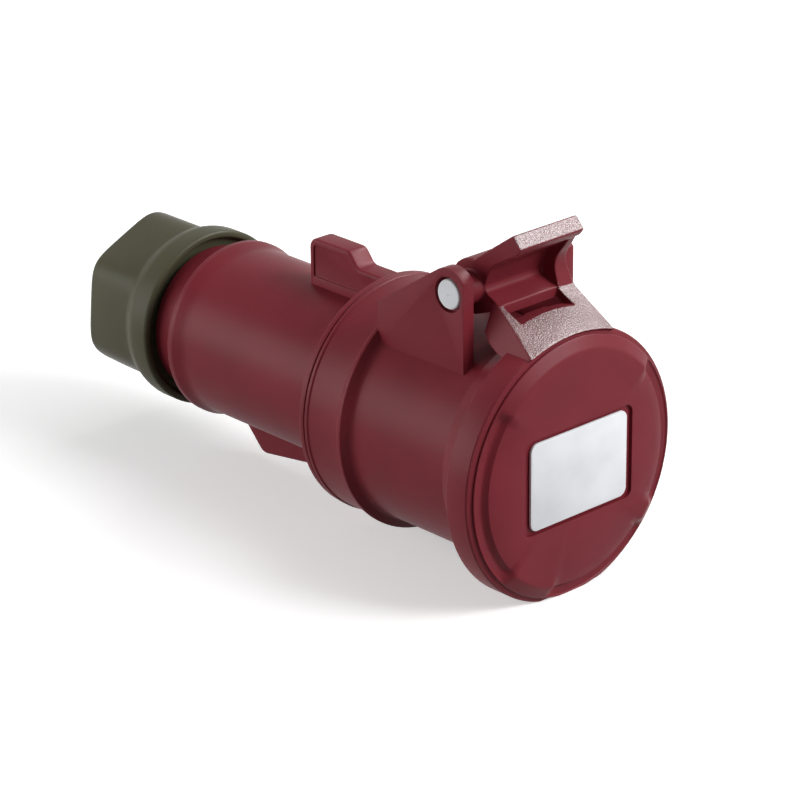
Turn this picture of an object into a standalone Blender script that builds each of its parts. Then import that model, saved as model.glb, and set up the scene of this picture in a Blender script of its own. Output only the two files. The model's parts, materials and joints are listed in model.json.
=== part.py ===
"""Industrial power connector: a portable three-phase coupling socket with a sprung hinged lid.

The connector axis is level and runs along X. The lid faces +X and the cable gland faces -X. Everything
is modelled from the axis, with x = 0 at the plane of the lid's rim. The empty connector_axis lifts
it so that the flat at the bottom of the lid stands on z = 0. The lid and what turns with it hang on the
empty lid_hinge, which lies on the hinge pin's axis.
"""

import math

import bmesh
import bpy
from mathutils import Matrix, Vector

MM = 0.001

# Clearances
SEAT_GAP = 0.3 * MM  # between faces that rest on each other
FIT_GAP = 0.4 * MM  # radial, between pieces that push or screw together
LID_CLEARANCE = 0.7 * MM  # lid skirt over the housing's rim, at the top

# Lid
LID_RADIUS = 41.3 * MM
LID_WALL = 3.0 * MM
LID_DROP = 1.3 * MM  # the lid's centre is below the connector axis, for the hinge's swing
LID_CROWN = 3.6 * MM  # raised front face, ahead of the rim plane
LID_PLATE = 4.1 * MM
LID_SKIRT = 8.5 * MM
LID_RIM_WIDTH = 2.6 * MM  # face outside the channels
LID_CROWN_EDGE = 2.8 * MM  # slope from that face up to the raised one
LID_SEAM_DEPTH = 0.6 * MM
LID_SEAM_WIDTH = 0.8 * MM
STAND_HEIGHT = 40.5 * MM  # connector axis above the flat that the lid stands on
CROWN_RADIUS = 33.1 * MM  # inner edge of the channels round the raised face
CHANNEL_WIDTH = 4.6 * MM
CHANNEL_DEPTH = 2.6 * MM
CHANNELS = ((45, 118), (124, 201), (217, 315))  # degrees from the top, towards +Y
CHANNEL_DRAFT = 0.7 * MM  # how much wider a channel is at the top, on each side
GASKET_THICKNESS = 2.0 * MM

# Label place
LABEL_WIDTH = 38.9 * MM
LABEL_HEIGHT = 26.9 * MM
LABEL_CORNER = 2.6 * MM
LABEL_THICKNESS = 0.8 * MM
LABEL_DROP = 1.75 * MM
LABEL_MARGIN_SIDE = 2.4 * MM
LABEL_MARGIN_TOP = 1.2 * MM
LABEL_PROUD = 0.1 * MM  # past the lid's raised face

# Hinge
HINGE_X = -27.2 * MM
HINGE_Z = 49.5 * MM
PIN_RADIUS = 2.5 * MM
PIN_HEAD_RADIUS = 4.4 * MM
PIN_HEAD_THICKNESS = 1.6 * MM
PIN_HEAD_RING = 0.9 * MM  # gap round the pin head in its recess
PIN_STEPS = 24
KNUCKLE_RADIUS = 8.4 * MM
KNUCKLE_START = math.radians(85)  # of the knuckle's round, from straight ahead of the pin
KNUCKLE_SWEEP = math.radians(190)
EAR_RADIUS = 7.9 * MM
EAR_OUTER_Y = 22.1 * MM
EAR_WALL = 4.1 * MM
EAR_FRONT = 6.2 * MM  # ahead of the pin
EAR_LENGTH = 35.7 * MM
EAR_REAR_HEIGHT = 39.6 * MM
EAR_CORNER = 1.2 * MM
EAR_EDGE = 0.5 * MM

# Lid arm
ARM_TOP_HALF = 12.6 * MM
ARM_FOOT_HALF = 15.5 * MM
ARM_WALL = 2.6 * MM
WINDOW_HALF = 10.2 * MM
RAMP_FOOT_BACK = 3.2 * MM  # from the raised face
RAMP_FOOT_DROP = 1.8 * MM  # below the top of the skirt
RAMP_HEAD_AHEAD = 9.7 * MM  # top of the ramp, ahead of the pin
RAMP_HEAD_DROP = 2.1 * MM
WEB_SET_BACK = 1.2 * MM  # rear edge of the arm's side webs, behind the top of the ramp
WEB_DEPTH = 5.2 * MM  # the webs' lower edge, below the top of the skirt
NECK_EDGE = 0.5 * MM
WINDOW_SILL = 0.6 * MM  # lower edge of the window, above the top of the skirt
WINDOW_MARGIN = 1.2 * MM  # front of the skirt's rear edge, and of the ramp's top
# The neck's side outline goes from the ramp's top, under the finger tab, round its tip and back
# over the top to the knuckle. Each point is (ahead of the pin, above the pin, fillet).
NECK_POINTS = (
    (5.6 * MM, -0.6 * MM, 1.8 * MM),
    (11.4 * MM, 9.8 * MM, 5.0 * MM),
    (18.3 * MM, 14.2 * MM, 1.0 * MM),
    (19.6 * MM, 16.2 * MM, 0.5 * MM),
    (16.4 * MM, 19.7 * MM, 0.7 * MM),
    (7.0 * MM, 13.0 * MM, 6.0 * MM),
)

# Mating face
PLUG_COLLAR_RADIUS = 32.0 * MM  # outside of the plug's collar, which fills the ring-shaped gap
PLUG_COLLAR_CLEARANCE = 0.6 * MM
PLUG_COLLAR_DEPTH = 38.0 * MM
INSERT_RADIUS = 27.6 * MM
KEYWAY_WIDTH = 7.0 * MM
KEYWAY_DEPTH = 1.0 * MM

# Front housing
BODY_WALL = 2.1 * MM
BODY_LENGTH = 70.1 * MM
FLARE_START = 8.0 * MM  # behind the rim
FLARE_LENGTH = 5.5 * MM
COLLAR_LENGTH = 16.6 * MM
COLLAR_RADIUS = 36.7 * MM
COLLAR_WALL = 3.3 * MM
COLLAR_RIDGE = 1.1 * MM  # round the collar's front edge
COLLAR_RIDGE_WIDTH = 1.2 * MM
COLLAR_RAMP = 1.6 * MM
COLLAR_BEAD = 0.4 * MM  # round its rear edge
COLLAR_BEAD_WIDTH = 1.0 * MM
COLLAR_BEAD_EDGE = 0.4 * MM
BORE_CHAMFER = 0.6 * MM
ROOT_OVERLAP = 2.0 * MM  # how far a joined shape runs into what carries it
LEDGE_THICKNESS = 4.0 * MM
FLANGE_THICKNESS = 3.0 * MM
FLANGE_RADIUS = 31.2 * MM

# Rear housing
SPIGOT_LENGTH = 15.0 * MM
SPIGOT_WALL = 2.6 * MM
REAR_FLANGE_RADIUS = 36.9 * MM
REAR_FLANGE_THICKNESS = 1.9 * MM
SHOULDER_LENGTH = 10.6 * MM
SHOULDER_FILLET = 4.0 * MM
BARREL_RADIUS = 26.8 * MM
BARREL_WALL = 2.4 * MM
BARREL_LENGTH = 61.2 * MM
BEAD_RADIUS = 28.1 * MM
BEAD_WIDTH = 2.4 * MM
BEAD_RAMP = 1.6 * MM
NECK_RADIUS = 23.6 * MM
NECK_LENGTH = 11.0 * MM
THREAD_RADIUS = 20.8 * MM
THREAD_LENGTH = 16.3 * MM
THREAD_WALL = 3.8 * MM
THREAD_FUNNEL = 7.0 * MM  # where the barrel's bore narrows to the thread's
RING_GROOVE_DEPTH = 1.6 * MM
RING_GROOVE_WIDTH = 2.4 * MM
RING_GROOVE_BACK = 7.0 * MM  # from the flange to the groove

# Grips on the rear housing
GRIP_HALF = 3.8 * MM
GRIP_TOP = 41.4 * MM
GRIP_STEP = 36.5 * MM
GRIP_CORNER = 3.0 * MM
GRIP_EDGE = 0.6 * MM
GRIP_REAR = 33.8 * MM  # behind the front housing's rear edge
GRIP_FRONT = 16.1 * MM
KEEL_DEPTH = 37.4 * MM
KEEL_BACK = 58.1 * MM
KEEL_TAIL = 68.3 * MM
KEEL_SLOPE = 0.147
KEEL_CORNER = 4.0 * MM

# Gland nut
NUT_FLATS = 49.6 * MM  # across flats
NUT_TURN = math.radians(5)  # how far past a point straight up it was tightened
NUT_CORNER_SHARPNESS = 16
NUT_BLEND_SHARPNESS = 40
NUT_MOUTH_RADIUS = 28.4 * MM
NUT_MOUTH_GAP = 10.2 * MM  # from the bead to the mouth
NUT_LENGTH = 32.9 * MM
NUT_SKIRT = 6.0 * MM
NUT_COVE = 10.0 * MM  # the hollow sweep from the flats out to the skirt
NUT_COVE_SHARE = 0.24  # how far in that sweep starts, of the mouth's radius
NUT_LIP = 2.1 * MM
NUT_LIP_ROUND = 0.8 * MM
NUT_END_ROUND = 2.2 * MM
CABLE_HOLE_RADIUS = 13.0 * MM
NUT_END_WALL = 3.2 * MM

# Cable clamp and its seal
CLAMP_WALL = 6.4 * MM
CLAMP_TIP_WALL = 3.4 * MM
CLAMP_FLANGE = 1.6 * MM
CLAMP_FINGERS = 8
CLAMP_SLOT = 1.4 * MM
SEAL_RADIUS = 12.9 * MM
SEAL_BORE_RADIUS = 9.5 * MM
SEAL_INSET = 3.0 * MM

# Contacts
CONTACT_CIRCLE_RADIUS = 17.5 * MM
PHASE_PIN_RADIUS = 3.0 * MM
EARTH_PIN_RADIUS = 4.0 * MM
PIN_FIT = 0.1 * MM
PASSAGE_STEPS = 20
INSERT_RECESS = 3.5 * MM  # insert's face behind the housing's rim
INSERT_WEB = 4.3 * MM  # thickness in front of the contacts
INSERT_TAIL = 2.7 * MM
INSERT_TAIL_RADIUS = 26.0 * MM
CONTACT_TIP_WALL = 0.8 * MM
CONTACT_WALL = 1.6 * MM
CONTACT_BORE_DEPTH = 27.0 * MM
SPRING_LENGTH = 7.0 * MM
SPRING_WALL = 0.5 * MM
SPRING_GAP_DEG = 30
TERMINAL_WALL = 2.6 * MM
TERMINAL_LENGTH = 12.7 * MM
WIRE_HOLE_RADIUS = 3.1 * MM
TERMINAL_SCREW_RADIUS = 1.7 * MM
TERMINAL_SCREW_PROUD = 0.8 * MM
TERMINAL_SCREW_STEPS = 12
TERMINAL_FLOOR = 1.0 * MM  # between the sleeve and the wire hole

# Lid spring
SPRING_WIRE_RADIUS = 0.6 * MM
SPRING_PITCH = 1.4 * MM
SPRING_TURNS = 2
SPRING_LEG = 9.0 * MM  # towards the rear
SPRING_STEPS = 12  # to a turn
SPRING_SIDES = 6

# Faceting
ROUND_STEPS = 40
FINE_FILLET = 0.7 * MM  # fillets under this radius are drawn as chamfers
MIDDLE_STEPS = 32
SMALL_STEPS = 16
SHARP_ANGLE = math.radians(35)

# Stations along the axis, worked out from the sizes above
LID_INNER_X = LID_CROWN - LID_PLATE
RIM_X = LID_INNER_X - 2 * SEAT_GAP - GASKET_THICKNESS
BODY_REAR_X = RIM_X - BODY_LENGTH
BORE_RADIUS = PLUG_COLLAR_RADIUS + PLUG_COLLAR_CLEARANCE
BODY_RADIUS = BORE_RADIUS + BODY_WALL
RIM_RADIUS = LID_RADIUS - LID_WALL - LID_DROP - LID_CLEARANCE
LEDGE_X = RIM_X - PLUG_COLLAR_DEPTH
LEDGE_REAR_X = LEDGE_X - LEDGE_THICKNESS
LEDGE_RADIUS = INSERT_RADIUS + FIT_GAP
FLANGE_FRONT_X = LEDGE_REAR_X - SEAT_GAP
FLANGE_REAR_X = FLANGE_FRONT_X - FLANGE_THICKNESS
NOSE_X = FLANGE_REAR_X - SEAT_GAP
COLLAR_BORE_RADIUS = COLLAR_RADIUS - COLLAR_WALL
SPIGOT_RADIUS = COLLAR_BORE_RADIUS - FIT_GAP
REAR_X = BODY_REAR_X - SEAT_GAP
SPIGOT_X = REAR_X + SPIGOT_LENGTH
BARREL_X = REAR_X - REAR_FLANGE_THICKNESS - SHOULDER_LENGTH
BEAD_REAR_X = BARREL_X - BARREL_LENGTH
NECK_REAR_X = BEAD_REAR_X - NECK_LENGTH
THREAD_REAR_X = NECK_REAR_X - THREAD_LENGTH
NUT_MOUTH_X = BEAD_REAR_X - NUT_MOUTH_GAP
NUT_REAR_X = NUT_MOUTH_X - NUT_LENGTH
INSERT_FACE_X = RIM_X - INSERT_RECESS
CONTACT_X = INSERT_FACE_X - INSERT_WEB - SEAT_GAP
INSERT_REAR_X = FLANGE_REAR_X - INSERT_TAIL
EAR_INNER_Y = EAR_OUTER_Y - EAR_WALL
PIN_HOLE_RADIUS = PIN_RADIUS + SEAT_GAP
FRONT_X = LID_CROWN + LABEL_PROUD
LENGTH = FRONT_X - NUT_REAR_X
REACH = 2 * LENGTH  # cutters run this far past what they cut


def clear_scene():
    for old in list(bpy.data.objects):
        bpy.data.objects.remove(old)


def make_material(name, colour, roughness, metallic=0.0):
    material = bpy.data.materials.new(name)
    material.use_nodes = True
    shader = material.node_tree.nodes["Principled BSDF"]
    shader.inputs["Base Color"].default_value = (*colour, 1.0)
    shader.inputs["Roughness"].default_value = roughness
    shader.inputs["Metallic"].default_value = metallic
    return material


def make_empty(name, place, parent=None):
    empty = bpy.data.objects.new(name, None)
    empty.empty_display_size = 10 * MM
    empty.location = place
    empty.parent = parent
    bpy.context.scene.collection.objects.link(empty)
    return empty


def make_object(name, shape, material=None):
    """An object from a bmesh, seen smooth where it is round. Its points are measured from the axis."""
    bmesh.ops.remove_doubles(shape, verts=shape.verts, dist=0.001 * MM)
    bmesh.ops.recalc_face_normals(shape, faces=shape.faces)
    # Triangles are exactly flat, which keeps a chain of Booleans closed.
    bmesh.ops.triangulate(shape, faces=shape.faces)
    mesh = bpy.data.meshes.new(name)
    shape.to_mesh(mesh)
    shape.free()
    mesh.shade_smooth()
    mesh.set_sharp_from_angle(angle=SHARP_ANGLE)
    made = bpy.data.objects.new(name, mesh)
    if material:
        mesh.materials.append(material)
    bpy.context.scene.collection.objects.link(made)
    return made


def place(piece, parent):
    """Parents a piece, with its points still measured from the connector axis."""
    piece.parent = parent
    piece.location = -parent.location if parent.parent else Vector()


def combine(piece, tool, operation):
    """Cuts the tool from the piece, or joins it on, and hides the tool."""
    tool.hide_render = True
    tool.display_type = "WIRE"
    tool.parent = piece
    modifier = piece.modifiers.new(tool.name, "BOOLEAN")
    modifier.operation = operation
    modifier.object = tool


def cut(piece, name, shape):
    combine(piece, make_object(name, shape), "DIFFERENCE")


def join(piece, name, shape):
    combine(piece, make_object(name, shape), "UNION")


def rounded(corners, steps=2):
    """Points of an outline. A corner is (a, b), or (a, b, radius) for a fillet of that radius."""
    points = []
    for index, corner in enumerate(corners):
        at = Vector(corner[:2])
        if len(corner) == 2:
            points.append(at)
            continue
        before = (Vector(corners[index - 1][:2]) - at).normalized()
        after = (Vector(corners[(index + 1) % len(corners)][:2]) - at).normalized()
        half = before.angle(after) / 2
        reach = corner[2] / math.tan(half)
        centre = at + (before + after).normalized() * corner[2] / math.sin(half)
        first = at + before * reach - centre
        last = at + after * reach - centre
        turn = first.angle_signed(last)
        count = 1 if corner[2] < FINE_FILLET else steps
        points += [centre + Matrix.Rotation(-turn * i / count, 2) @ first for i in range(count + 1)]
    return points


def revolve(outline, steps=ROUND_STEPS, start=0.0, sweep=360.0):
    """Turns a closed outline of (x, radius) about the X axis, from start degrees past +Z towards +Y."""
    shape = bmesh.new()
    whole = sweep == 360.0
    rings = []
    for i in range(steps if whole else steps + 1):
        angle = math.radians(start + sweep * i / steps)
        side = math.sin(angle)
        up = math.cos(angle)
        rings.append([shape.verts.new((x, r * side, r * up)) for x, r in outline])
    for i in range(steps):
        near = rings[i]
        far = rings[(i + 1) % len(rings)]
        for j in range(len(outline)):
            k = (j + 1) % len(outline)
            if outline[j][1] or outline[k][1]:
                shape.faces.new((near[j], near[k], far[k], far[j]))
    if not whole:
        shape.faces.new(rings[0])
        shape.faces.new(rings[-1])
    return shape


def loft(sections, steps=ROUND_STEPS):
    """Joins rings into one closed skin, the last back to the first. A section is (x, radius by angle)."""
    shape = bmesh.new()
    rings = []
    for x, radius_at in sections:
        ring = []
        for i in range(steps):
            angle = math.tau * i / steps
            r = radius_at(angle)
            ring.append(shape.verts.new((x, r * math.sin(angle), r * math.cos(angle))))
        rings.append(ring)
    for near, far in zip(rings, rings[1:] + rings[:1]):
        for i in range(steps):
            j = (i + 1) % steps
            shape.faces.new((near[i], near[j], far[j], far[i]))
    return shape


def prism(outline, low, high, edge=0.0):
    """Draws an outline of (x, z) from y = low to y = high, with its end edges cut back by edge."""
    shape = bmesh.new()
    face = shape.faces.new([shape.verts.new((x, low, z)) for x, z in outline])
    pulled = bmesh.ops.extrude_face_region(shape, geom=[face])["geom"]
    moved = [item for item in pulled if isinstance(item, bmesh.types.BMVert)]
    bmesh.ops.translate(shape, verts=moved, vec=(0, high - low, 0))
    bmesh.ops.recalc_face_normals(shape, faces=shape.faces)
    if edge:
        ends = [e for e in shape.edges if abs(e.verts[0].co.y - e.verts[1].co.y) < edge / 10]
        bmesh.ops.bevel(shape, geom=ends, offset=edge, segments=1, affect="EDGES")
    return shape


def box(low, high):
    shape = bmesh.new()
    bmesh.ops.create_cube(shape, size=1.0)
    size = Vector(high) - Vector(low)
    middle = (Vector(high) + Vector(low)) / 2
    for vert in shape.verts:
        vert.co = Vector(a * b for a, b in zip(vert.co, size)) + middle
    return shape


def cylinder(start, end, radius, steps=SMALL_STEPS):
    shape = bmesh.new()
    run = Vector(end) - Vector(start)
    turn = Vector((0, 0, 1)).rotation_difference(run).to_matrix().to_4x4()
    spot = Matrix.Translation((Vector(start) + Vector(end)) / 2) @ turn
    bmesh.ops.create_cone(
        shape, cap_ends=True, segments=steps, radius1=radius, radius2=radius, depth=run.length, matrix=spot
    )
    return shape


def shifted(shape, move):
    bmesh.ops.translate(shape, verts=shape.verts, vec=move)
    return shape


def front_housing(material):
    """One moulding: tube, rim under the lid, collar for the rear housing, and the two hinge ears."""
    ridge = COLLAR_RADIUS + COLLAR_RIDGE
    bead = COLLAR_RADIUS + COLLAR_BEAD
    bead_x = BODY_REAR_X + COLLAR_BEAD_EDGE
    collar_x = BODY_REAR_X + COLLAR_LENGTH
    flare_x = RIM_X - FLARE_START
    outline = rounded([
        (RIM_X, 0),
        (RIM_X, RIM_RADIUS, 0.5 * MM),
        (flare_x, RIM_RADIUS, 3 * MM),
        (flare_x - FLARE_LENGTH, BODY_RADIUS, 3 * MM),
        (collar_x + COLLAR_RAMP, BODY_RADIUS, 2.0 * MM),
        (collar_x, ridge, 0.4 * MM),
        (collar_x - COLLAR_RIDGE_WIDTH, ridge, 0.4 * MM),
        (collar_x - 2 * COLLAR_RIDGE_WIDTH, COLLAR_RADIUS, 0.6 * MM),
        (bead_x + COLLAR_BEAD_WIDTH + COLLAR_BEAD_EDGE, COLLAR_RADIUS),
        (bead_x + COLLAR_BEAD_WIDTH, bead),
        (bead_x, bead),
        (BODY_REAR_X, COLLAR_RADIUS),
        (BODY_REAR_X, 0),
    ])
    housing = make_object("front_housing", revolve(outline), material)

    ear_front = HINGE_X + EAR_FRONT
    ear_rear = ear_front - EAR_LENGTH
    root = math.sqrt(BORE_RADIUS**2 - EAR_OUTER_Y**2) - ROOT_OVERLAP
    # The slope up to the ear's round top is the tangent from the rear corner.
    away = Vector((ear_rear - HINGE_X, EAR_REAR_HEIGHT - HINGE_Z))
    tangent = math.atan2(away.y, away.x) - math.acos(EAR_RADIUS / away.length)
    last = math.acos(EAR_FRONT / EAR_RADIUS)
    first = tangent % math.tau
    arc = [first + (last - first) * i / 7 for i in range(8)]
    arc = [Vector((HINGE_X + EAR_RADIUS * math.cos(a), HINGE_Z + EAR_RADIUS * math.sin(a))) for a in arc]
    ear = rounded([(ear_rear, root), (ear_rear, EAR_REAR_HEIGHT, EAR_CORNER), tuple(arc[0])])
    ear += arc[1:]
    ear.append(Vector((ear_front, root)))
    join(housing, "ear_near", prism(ear, -EAR_OUTER_Y, -EAR_INNER_Y, EAR_EDGE))
    join(housing, "ear_far", prism(ear, EAR_INNER_Y, EAR_OUTER_Y, EAR_EDGE))

    flange_bore = FLANGE_RADIUS + FIT_GAP
    step_x = SPIGOT_X + SEAT_GAP
    bore = [
        (RIM_X + REACH, 0),
        (RIM_X + REACH, BORE_RADIUS + BORE_CHAMFER),
        (RIM_X, BORE_RADIUS + BORE_CHAMFER),
        (RIM_X - BORE_CHAMFER, BORE_RADIUS),
        (LEDGE_X, BORE_RADIUS),
        (LEDGE_X, LEDGE_RADIUS),
        (LEDGE_REAR_X, LEDGE_RADIUS),
        (LEDGE_REAR_X, flange_bore),
        (step_x, flange_bore),
        (step_x, COLLAR_BORE_RADIUS),
        (BODY_REAR_X - REACH, COLLAR_BORE_RADIUS),
        (BODY_REAR_X - REACH, 0),
    ]
    cut(housing, "housing_bore", revolve(bore))
    key_low = (LEDGE_X, -KEYWAY_WIDTH / 2, -BORE_RADIUS - KEYWAY_DEPTH)
    key_high = (RIM_X + REACH, KEYWAY_WIDTH / 2, -INSERT_RADIUS)
    cut(housing, "keyway", box(key_low, key_high))

    hole = cylinder((HINGE_X, -REACH, HINGE_Z), (HINGE_X, REACH, HINGE_Z), PIN_HOLE_RADIUS)
    cut(housing, "ear_pin_hole", hole)
    recess_y = -EAR_OUTER_Y + PIN_HEAD_THICKNESS + SEAT_GAP
    recess_radius = PIN_HEAD_RADIUS + PIN_HEAD_RING
    recess = cylinder((HINGE_X, -REACH, HINGE_Z), (HINGE_X, recess_y, HINGE_Z), recess_radius, PIN_STEPS)
    cut(housing, "pin_head_recess", recess)
    return housing


def rear_housing(material):
    """One moulding: nose and spigot inside the front housing, barrel, grips, and the gland's threaded neck."""
    shoulder_x = REAR_X - REAR_FLANGE_THICKNESS
    groove_x = REAR_X + RING_GROOVE_BACK
    groove_radius = SPIGOT_RADIUS - RING_GROOVE_DEPTH
    bead_front_x = BEAD_REAR_X + BEAD_WIDTH
    outline = rounded([
        (NOSE_X, 0),
        (NOSE_X, FLANGE_RADIUS),
        (SPIGOT_X, FLANGE_RADIUS),
        (SPIGOT_X, SPIGOT_RADIUS),
        (groove_x + RING_GROOVE_WIDTH, SPIGOT_RADIUS),
        (groove_x + RING_GROOVE_WIDTH, groove_radius),
        (groove_x, groove_radius),
        (groove_x, SPIGOT_RADIUS),
        (REAR_X, SPIGOT_RADIUS),
        (REAR_X, REAR_FLANGE_RADIUS, 0.3 * MM),
        (shoulder_x, REAR_FLANGE_RADIUS, 0.5 * MM),
        (shoulder_x - SHOULDER_LENGTH / 3, BARREL_RADIUS + COLLAR_BEAD, SHOULDER_FILLET),
        (BARREL_X, BARREL_RADIUS),
        (bead_front_x + BEAD_RAMP, BARREL_RADIUS),
        (bead_front_x, BEAD_RADIUS),
        (BEAD_REAR_X, BEAD_RADIUS, 0.5 * MM),
        (BEAD_REAR_X, NECK_RADIUS),
        (NECK_REAR_X, NECK_RADIUS),
        (NECK_REAR_X, THREAD_RADIUS),
        (THREAD_REAR_X, THREAD_RADIUS, 0.4 * MM),
        (THREAD_REAR_X, 0),
    ])
    housing = make_object("rear_housing", revolve(outline), material)

    grip_rear = BODY_REAR_X - GRIP_REAR
    grip_front = BODY_REAR_X - GRIP_FRONT
    inside = BARREL_RADIUS - BARREL_WALL - ROOT_OVERLAP
    seat_x = REAR_X - REAR_FLANGE_THICKNESS / 2
    grip = rounded([
        (grip_rear, inside),
        (grip_rear, GRIP_TOP, GRIP_CORNER),
        (grip_front, GRIP_TOP, GRIP_CORNER),
        (grip_front + 0.8 * (GRIP_TOP - GRIP_STEP), GRIP_STEP, GRIP_CORNER),
        (seat_x, GRIP_STEP),
        (seat_x, inside),
    ], 3)
    join(housing, "grip", prism(grip, -GRIP_HALF, GRIP_HALF, GRIP_EDGE))

    keel_x = BODY_REAR_X - KEEL_BACK
    keel = rounded([
        (BODY_REAR_X - KEEL_TAIL, -BARREL_RADIUS),
        (keel_x, -KEEL_DEPTH, KEEL_CORNER),
        (seat_x, -KEEL_DEPTH + KEEL_SLOPE * (seat_x - keel_x)),
        (seat_x, -inside),
        (BODY_REAR_X - KEEL_TAIL, -inside),
    ], 3)
    join(housing, "keel", prism(keel, -GRIP_HALF, GRIP_HALF, GRIP_EDGE))

    nose_bore = FLANGE_RADIUS - SPIGOT_WALL
    barrel_bore = BARREL_RADIUS - BARREL_WALL
    thread_bore = THREAD_RADIUS - THREAD_WALL
    bore = [
        (NOSE_X + REACH, 0),
        (NOSE_X + REACH, nose_bore),
        (REAR_X, nose_bore),
        (REAR_X - SHOULDER_LENGTH / 2, barrel_bore),
        (BEAD_REAR_X + THREAD_FUNNEL, barrel_bore),
        (BEAD_REAR_X, thread_bore),
        (THREAD_REAR_X - REACH, thread_bore),
        (THREAD_REAR_X - REACH, 0),
    ]
    cut(housing, "rear_bore", revolve(bore))
    return housing


def housing_seal(material):
    """The sealing ring in the spigot's groove."""
    low = SPIGOT_RADIUS - RING_GROOVE_DEPTH + SEAT_GAP
    high = COLLAR_BORE_RADIUS - SEAT_GAP
    middle_x = REAR_X + RING_GROOVE_BACK + RING_GROOVE_WIDTH / 2
    half = (high - low) / 2
    section = [math.tau * i / 6 for i in range(6)]
    outline = [(middle_x + half * math.cos(a), low + half + half * math.sin(a)) for a in section]
    return make_object("housing_seal", revolve(outline), material)


def nut_flats(angle):
    """The nut's radius by angle: a hexagon with softly rounded corners."""
    total = 0.0
    for i in range(6):
        facing = math.cos(angle - NUT_TURN - math.radians(30 + 60 * i))
        if facing > 0:
            total += (facing / (NUT_FLATS / 2)) ** NUT_CORNER_SHARPNESS
    return total ** (-1 / NUT_CORNER_SHARPNESS)


def flats_or_round(angle, radius):
    """The flats where they stand out further than a round of that radius, with a blend between."""
    power = NUT_BLEND_SHARPNESS
    return (nut_flats(angle) ** power + radius**power) ** (1 / power)


def gland_nut(material):
    """Hexagonal at the cable's end, and flared to a round skirt that opens over the neck."""
    sections = []
    for i in range(3):
        turn = math.radians(45 * i)
        x = NUT_REAR_X + NUT_END_ROUND * (1 - math.cos(turn))
        inset = NUT_END_ROUND * (1 - math.sin(turn))
        sections.append((x, lambda angle, inset=inset: nut_flats(angle) - inset))
    skirt_x = NUT_MOUTH_X - NUT_SKIRT
    for i in range(6):
        share = i / 5
        x = skirt_x - NUT_COVE * (1 - share)
        radius = NUT_MOUTH_RADIUS * (1 - NUT_COVE_SHARE * (1 - share) ** 2)
        sections.append((x, lambda angle, radius=radius: flats_or_round(angle, radius)))
    inner = NUT_MOUTH_RADIUS - NUT_LIP
    thread = THREAD_RADIUS + FIT_GAP
    tip = SEAL_RADIUS + CLAMP_TIP_WALL + 3 * SEAT_GAP
    rounds = [
        (NUT_MOUTH_X - NUT_LIP_ROUND, NUT_MOUTH_RADIUS),
        (NUT_MOUTH_X, NUT_MOUTH_RADIUS - NUT_LIP_ROUND),
        (NUT_MOUTH_X, inner),
        (NUT_MOUTH_X - 2 * NUT_LIP_ROUND, inner - NUT_LIP_ROUND),
        (NECK_REAR_X - NUT_LIP, thread),
        (THREAD_REAR_X - SEAT_GAP - CLAMP_FLANGE, thread),
        (NUT_REAR_X + NUT_END_WALL, tip),
        (NUT_REAR_X + NUT_END_WALL, CABLE_HOLE_RADIUS),
        (NUT_REAR_X, CABLE_HOLE_RADIUS),
    ]
    for x, radius in rounds:
        sections.append((x, lambda angle, radius=radius: radius))
    return make_object("gland_nut", loft(sections), material)


def cable_clamp(material):
    """The crown of fingers that the nut's cone closes on the cable."""
    front_x = THREAD_REAR_X - SEAT_GAP
    tip_x = NUT_REAR_X + NUT_END_WALL + SEAT_GAP
    inner = SEAL_RADIUS + SEAT_GAP
    flange_x = front_x - CLAMP_FLANGE
    outline = [
        (front_x, inner),
        (front_x, THREAD_RADIUS),
        (flange_x, THREAD_RADIUS),
        (flange_x, inner + CLAMP_WALL),
        (tip_x, inner + CLAMP_TIP_WALL),
        (tip_x, inner),
    ]
    clamp = make_object("cable_clamp", revolve(outline), material)
    for i in range(CLAMP_FINGERS // 2):
        slot = box(
            (tip_x - REACH, -CLAMP_SLOT / 2, -THREAD_RADIUS),
            (flange_x - 1 * MM, CLAMP_SLOT / 2, THREAD_RADIUS),
        )
        turn = Matrix.Rotation(math.tau * i / CLAMP_FINGERS, 3, "X")
        bmesh.ops.rotate(slot, verts=slot.verts, cent=(0, 0, 0), matrix=turn)
        cut(clamp, f"clamp_slot_{i}", slot)
    return clamp


def cable_seal(material):
    """The rubber sleeve that the clamp squeezes round the cable."""
    front_x = THREAD_REAR_X + SEAL_INSET
    rear_x = NUT_REAR_X + NUT_END_WALL + 1 * MM
    outline = rounded([
        (front_x, SEAL_BORE_RADIUS),
        (front_x, SEAL_RADIUS, 0.6 * MM),
        (rear_x, SEAL_RADIUS, 0.6 * MM),
        (rear_x, SEAL_BORE_RADIUS),
    ])
    return make_object("cable_seal", revolve(outline, MIDDLE_STEPS), material)


def contact_places():
    """The contacts' names, places on the circle in degrees from the top, and pin radii."""
    return (
        ("earth", 180, EARTH_PIN_RADIUS),
        ("phase_1", 270, PHASE_PIN_RADIUS),
        ("phase_2", 0, PHASE_PIN_RADIUS),
        ("phase_3", 90, PHASE_PIN_RADIUS),
    )


def on_circle(degrees):
    angle = math.radians(degrees)
    return Vector((0, CONTACT_CIRCLE_RADIUS * math.sin(angle), CONTACT_CIRCLE_RADIUS * math.cos(angle)))


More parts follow.
